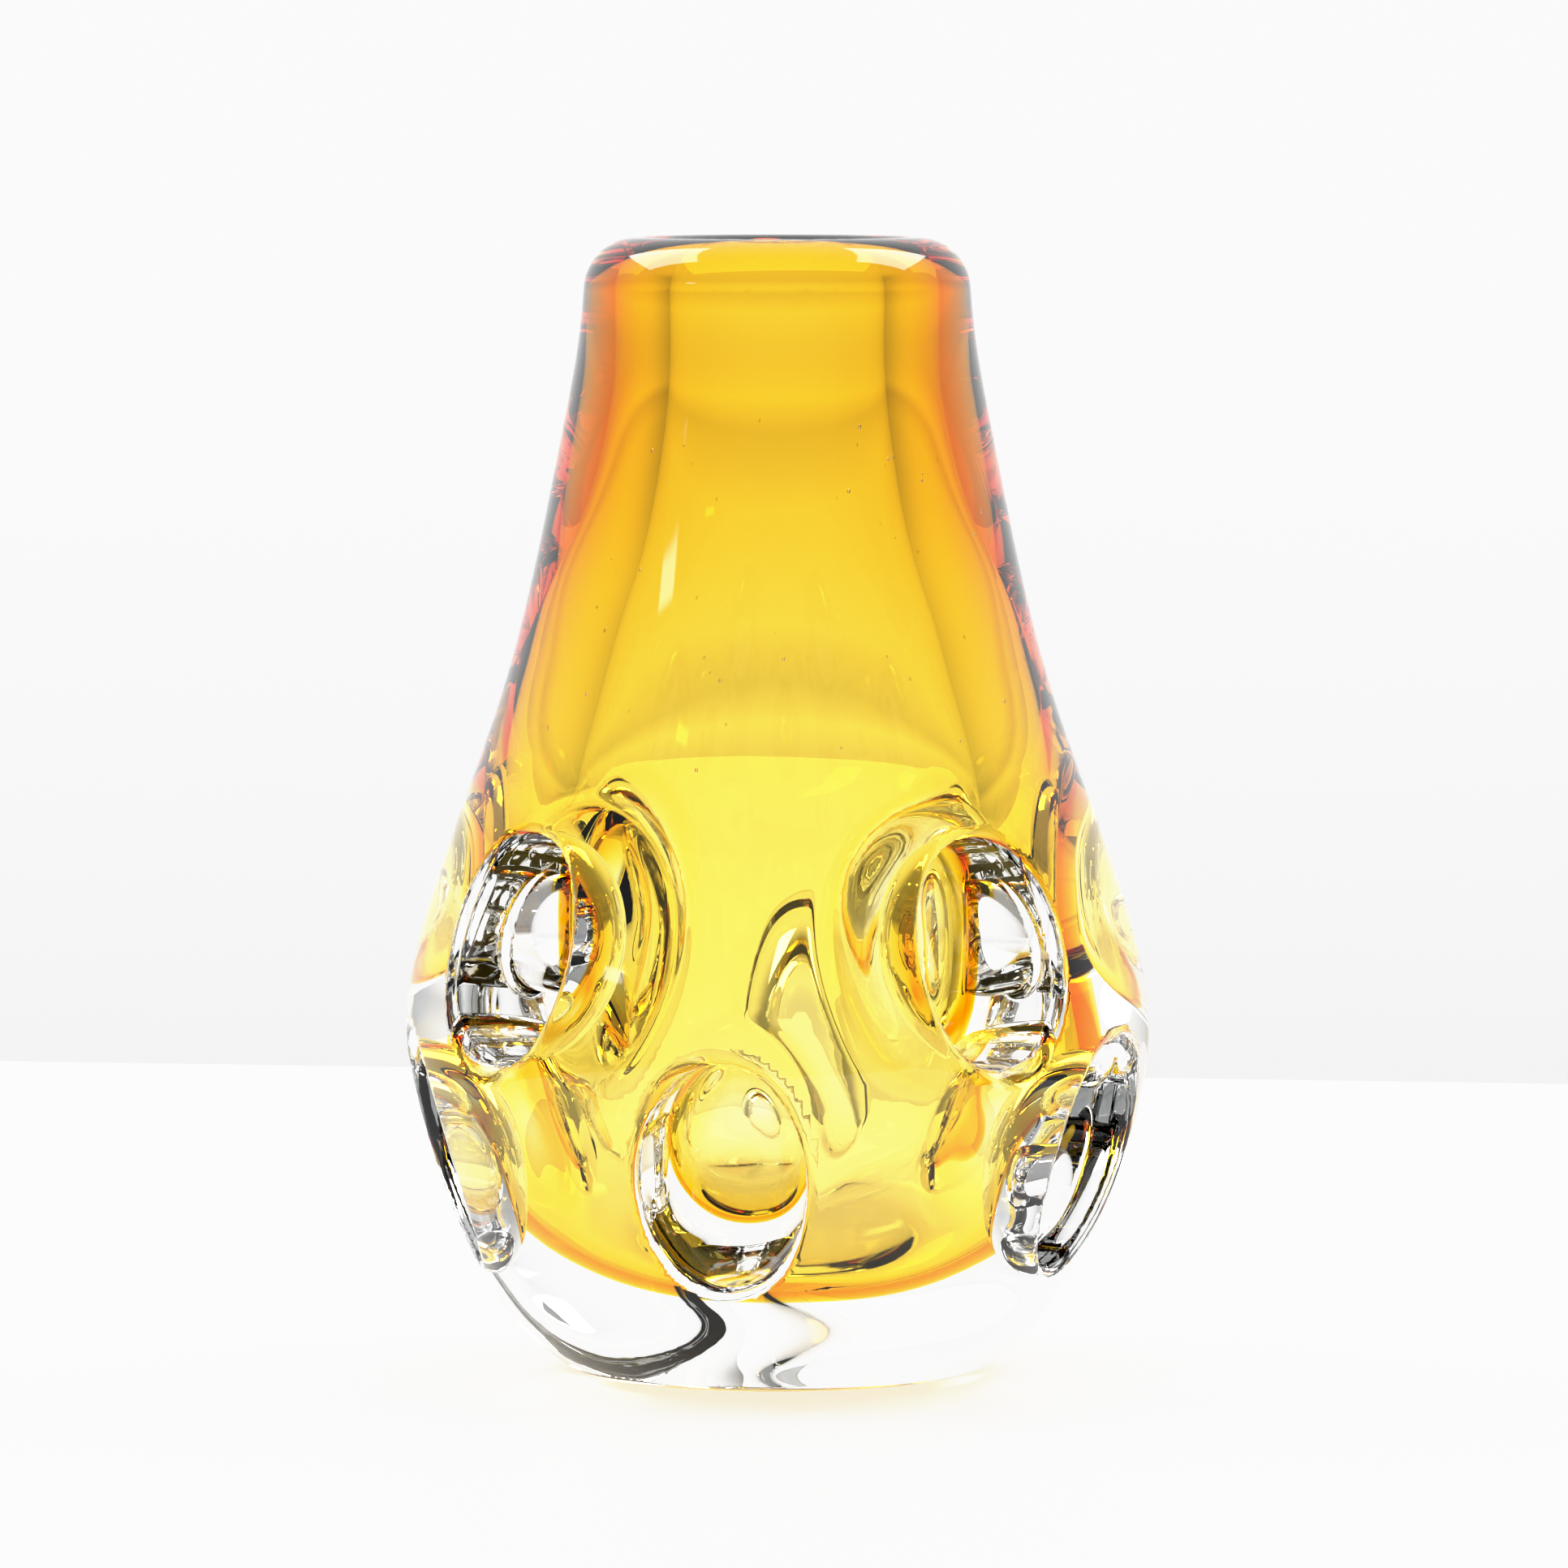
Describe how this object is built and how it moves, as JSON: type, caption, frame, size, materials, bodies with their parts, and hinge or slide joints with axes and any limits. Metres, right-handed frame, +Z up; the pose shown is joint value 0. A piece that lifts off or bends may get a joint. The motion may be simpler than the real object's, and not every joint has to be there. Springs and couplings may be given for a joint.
{
  "type": "bud vase",
  "caption": "Heavy pear-shaped cased-glass vase: clear casing fused over an amber layer, round neck bore, staggered oval wells pressed into the belly.",
  "frame": {"origin": "centre of the flat base, on the surface the vase stands on", "axes": "+Z up along the axis of the neck; -Y is the front of the vase"},
  "size_m": [0.1314, 0.1314, 0.2],
  "materials": {
    "clear_glass": "fire-polished, colourless lead-free crystal",
    "amber_glass": "fire-polished, transparent amber"
  },
  "bodies": {
    "root": {"clear_casing": "clear_glass", "amber_core": "amber_glass"}
  },
  "joints": []
}
